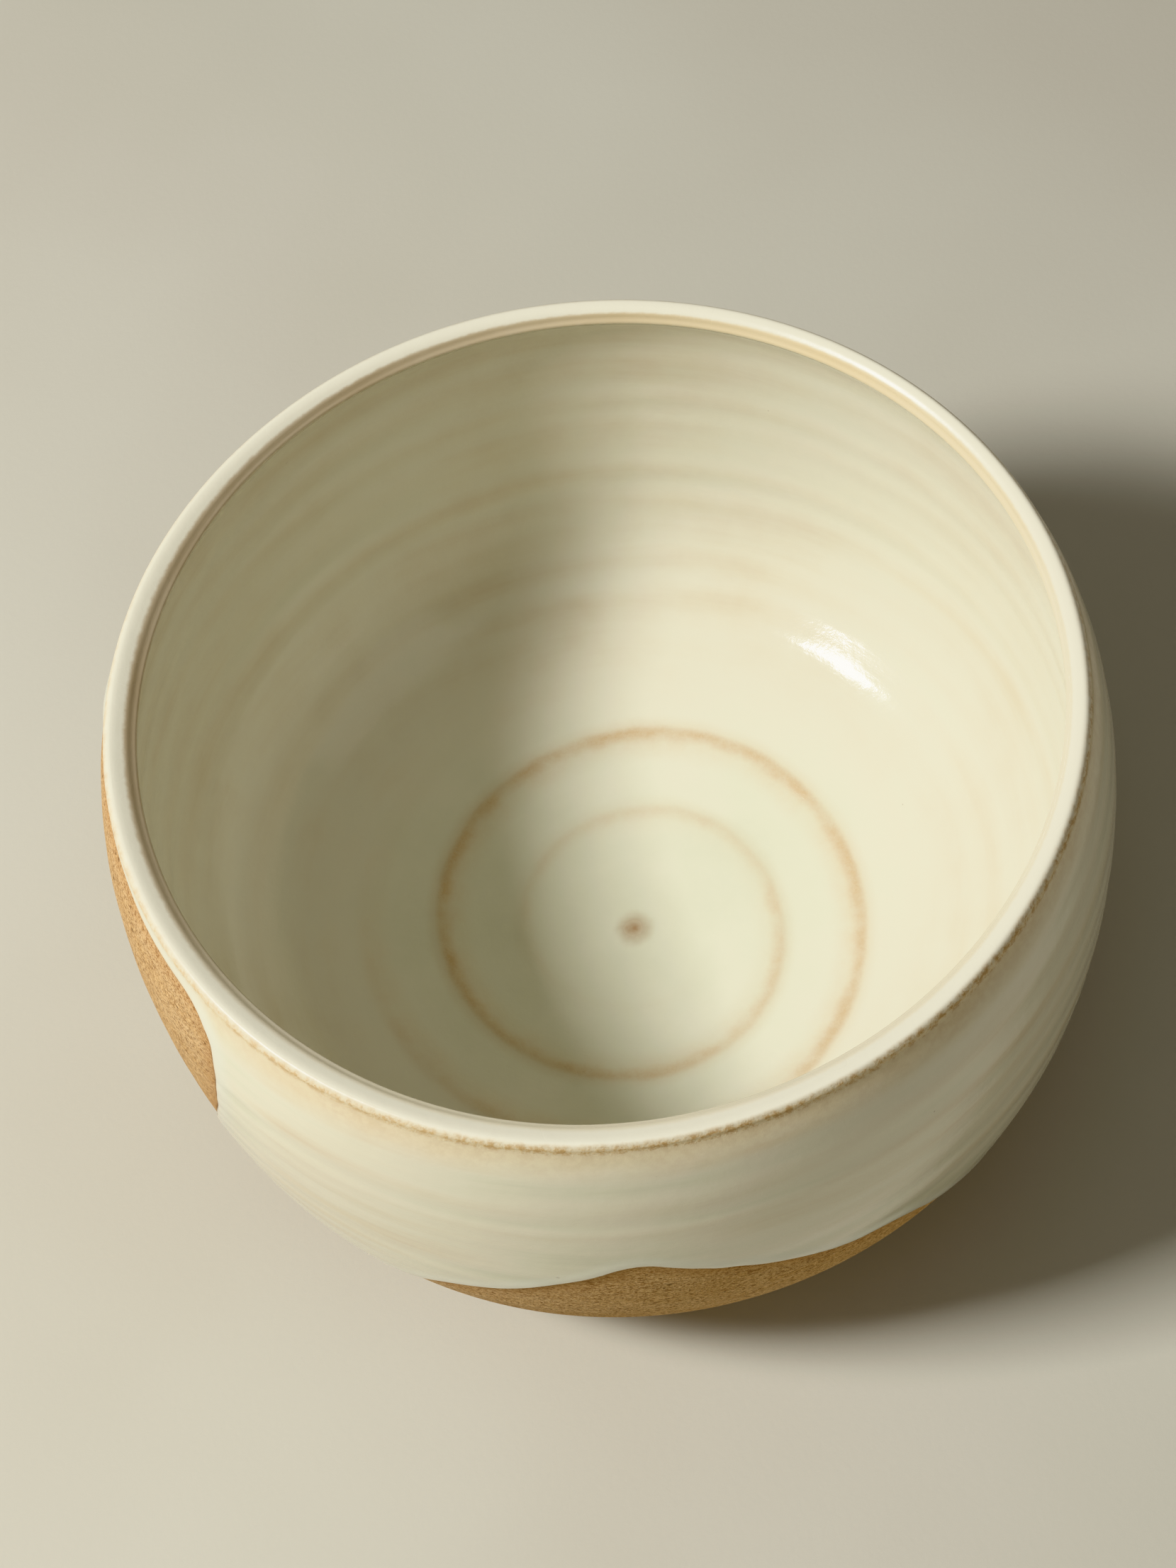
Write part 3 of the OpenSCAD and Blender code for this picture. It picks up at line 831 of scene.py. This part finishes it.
glaze_in = glaze_material("cream_glaze_inside", True)
glaze_out = glaze_material("cream_glaze_outside", False)
clay_mat = clay_material()
for ob, mt, node, slot in ((clay, clay_mat, "clay_body", "bare_clay"), (liner, glaze_in, "liner_glaze", "liner_glaze"), (outer, glaze_out, "outer_glaze", "outer_glaze")):
    ob.data.materials.append(mt)
    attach(ob, "root")
    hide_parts(node)

# ---------------------------------------------------------------------------
# Floor, light and camera
# ---------------------------------------------------------------------------
bpy.ops.mesh.primitive_plane_add(size=6.0, location=(0, 0, 0))
floor = bpy.context.object
floor.name = "studio_floor"
fm = Mat("pale_floor")
fc = fm.mix(fm.remap(fm.noise(9, 3, 0.5), 0.3, 0.7), lin((196, 192, 177)), lin((202, 199, 185)))
fm.put(fm.p.inputs["Base Color"], fc)
fm.p.inputs["Roughness"].default_value = 0.75
fm.put(fm.p.inputs["Normal"], fm.bump(fm.noise(900, 3, 0.6), 0.12, 0.0002))
floor.data.materials.append(fm.m)

world = bpy.data.worlds.new("studio")
bpy.context.scene.world = world
world.use_nodes = True
bg = world.node_tree.nodes["Background"]
bg.inputs[0].default_value = (1.0, 0.95, 0.86, 1)
bg.inputs[1].default_value = 0.22
bpy.context.scene.view_settings.view_transform = "Khronos PBR Neutral"
bpy.context.scene.view_settings.look = "None"


def soft_box(name, at, aim, size, size_y, watts, colour=(1, 1, 1)):
    la = bpy.data.lights.new(name, "AREA")
    la.shape = "RECTANGLE"
    la.size, la.size_y = size, size_y
    la.energy = watts
    la.color = colour
    ob = bpy.data.objects.new(name, la)
    ob.location = at
    ob.rotation_euler = (Vector(aim) - Vector(at)).to_track_quat("-Z", "Y").to_euler()
    bpy.context.scene.collection.objects.link(ob)
    return ob


soft_box("key", (-0.58, -0.08, 0.72), (0, 0, 0.03), 0.18, 0.18, 8.6, (1.0, 0.995, 0.985))
soft_box("fill", (0.70, -0.45, 0.70), (0, 0, 0.03), 0.7, 0.7, 0.6, (1.0, 0.98, 0.94))

# camera: solved from the lip's ellipse and the body's outline
F_PX, ELEV, ROLL = 4700.0, math.radians(60.59), math.radians(10.46)
TX, TY, TZ = 0.6, -10.9, 403.7
c_, s_ = math.cos(ELEV), math.sin(ELEV)
fw = Vector((0, c_, -s_))
rt = Vector((1, 0, 0))
dn = Vector((0, -s_, -c_))
cr_, sr_ = math.cos(ROLL), math.sin(ROLL)
rt2 = cr_ * rt + sr_ * dn
dn2 = -sr_ * rt + cr_ * dn
loc = -(TX * rt2 + TY * dn2 + TZ * fw)
cam = bpy.data.cameras.new("photo_view")
cam_ob = bpy.data.objects.new("photo_view", cam)
bpy.context.scene.collection.objects.link(cam_ob)
cam.sensor_fit = "AUTO"
cam.sensor_width = 36.0
cam.lens = F_PX * 36.0 / 2212.0
cam.clip_start = 0.01
M = Matrix((rt2, -dn2, -fw)).transposed().to_4x4()
M.translation = Vector((loc.x, loc.y, loc.z + (H - 1.3))) * 0.001
cam_ob.matrix_world = M
bpy.context.scene.camera = cam_ob
